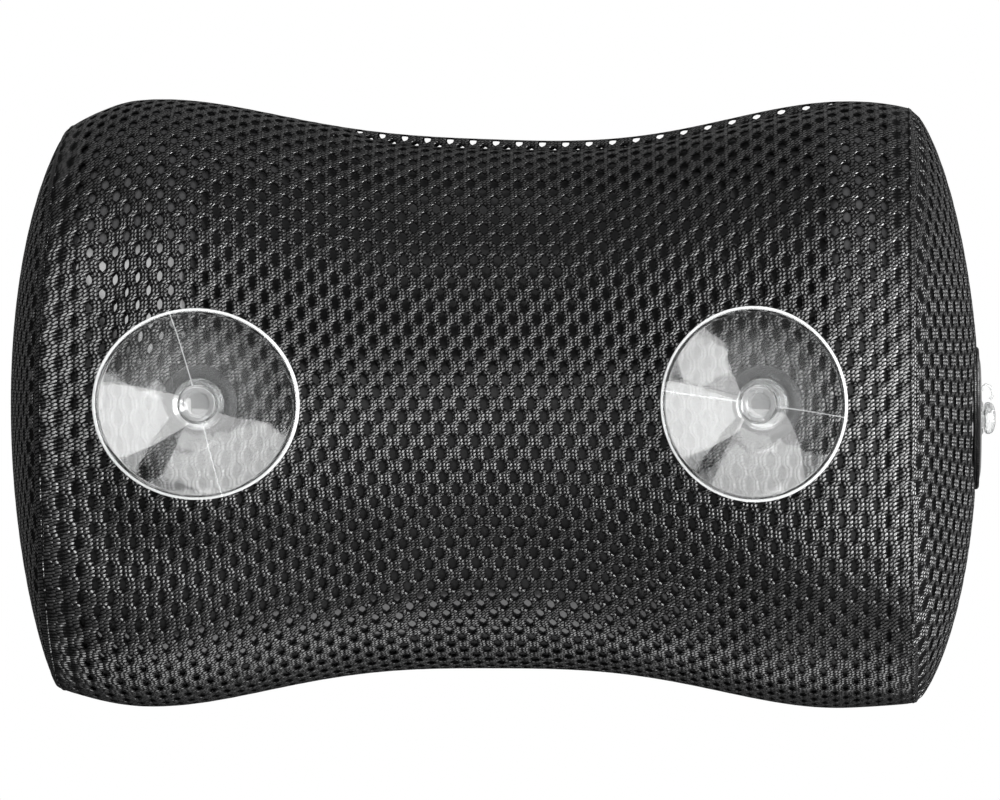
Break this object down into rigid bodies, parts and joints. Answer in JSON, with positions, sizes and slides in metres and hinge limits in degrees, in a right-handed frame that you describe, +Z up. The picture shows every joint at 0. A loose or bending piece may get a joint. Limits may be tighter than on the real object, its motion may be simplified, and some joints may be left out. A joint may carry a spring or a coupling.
{
  "type": "inflatable bath pillow",
  "caption": "Bone-shaped inflatable bath pillow: black knitted mesh cover over an air bladder, with clear suction cups on its back and an inflation valve in one end.",
  "frame": {"origin": "midway between the suction cups, on the plane of the wall that they grip when both stand square on it", "axes": "+X along the roll towards the valve end, +Y from the wall towards the bather, +Z up"},
  "size_m": [0.2788, 0.1669, 0.172],
  "materials": {
    "mesh_fabric": "matt knitted mesh",
    "binding_tape": "matt woven tape",
    "bladder_vinyl": "glossy soft vinyl",
    "clear_vinyl": "clear soft vinyl",
    "eyelet_plastic": "dark moulding"
  },
  "bodies": {
    "pillow": {"cover_wrap_panel": "mesh_fabric", "cover_left_end_panel": "mesh_fabric", "cover_right_end_panel": "mesh_fabric", "left_end_seam": "binding_tape", "right_end_seam": "binding_tape", "bottom_seam": "binding_tape", "valve_opening_binding": "binding_tape", "bladder_wrap_sheet": "bladder_vinyl", "bladder_left_end_sheet": "bladder_vinyl", "bladder_right_end_sheet": "bladder_vinyl", "valve_base": "clear_vinyl", "valve_tether": "clear_vinyl"},
    "stopper": {"valve_stopper": "clear_vinyl"},
    "flap": {"valve_flap": "clear_vinyl"},
    "left_eyelet": {"left_eyelet_flange": "eyelet_plastic", "left_eyelet_washer": "eyelet_plastic"},
    "left_cup": {"left_suction_cup": "clear_vinyl"},
    "right_eyelet": {"right_eyelet_flange": "eyelet_plastic", "right_eyelet_washer": "eyelet_plastic"},
    "right_cup": {"right_suction_cup": "clear_vinyl"}
  },
  "joints": [
    {"name": "left_cup_lean", "type": "hinge", "parent": "pillow", "child": "left_eyelet", "pos_m": [-0.0775, 0.021, 0], "axis": [0, 0, 1], "range_deg": [-5, 19]},
    {"name": "left_cup_spin", "type": "hinge", "parent": "left_eyelet", "child": "left_cup", "pos_m": [-0.0775, 0.021, 0], "axis": [0.039, -0.9992, 0], "continuous": true},
    {"name": "right_cup_lean", "type": "hinge", "parent": "pillow", "child": "right_eyelet", "pos_m": [0.0775, 0.021, 0], "axis": [0, 0, 1], "range_deg": [-13, 11]},
    {"name": "right_cup_spin", "type": "hinge", "parent": "right_eyelet", "child": "right_cup", "pos_m": [0.0775, 0.021, 0], "axis": [-0.1432, -0.9897, 0], "continuous": true},
    {"name": "stopper_pull", "type": "slide", "parent": "pillow", "child": "stopper", "axis": [1, 0, 0], "range_m": [0, 0.008], "deforming": ["valve_tether"]},
    {"name": "flap_open", "type": "hinge", "parent": "pillow", "child": "flap", "pos_m": [0.1297, 0.09121, -0.0006], "axis": [0, 1, 0], "range_deg": [0, 60]}
  ]
}
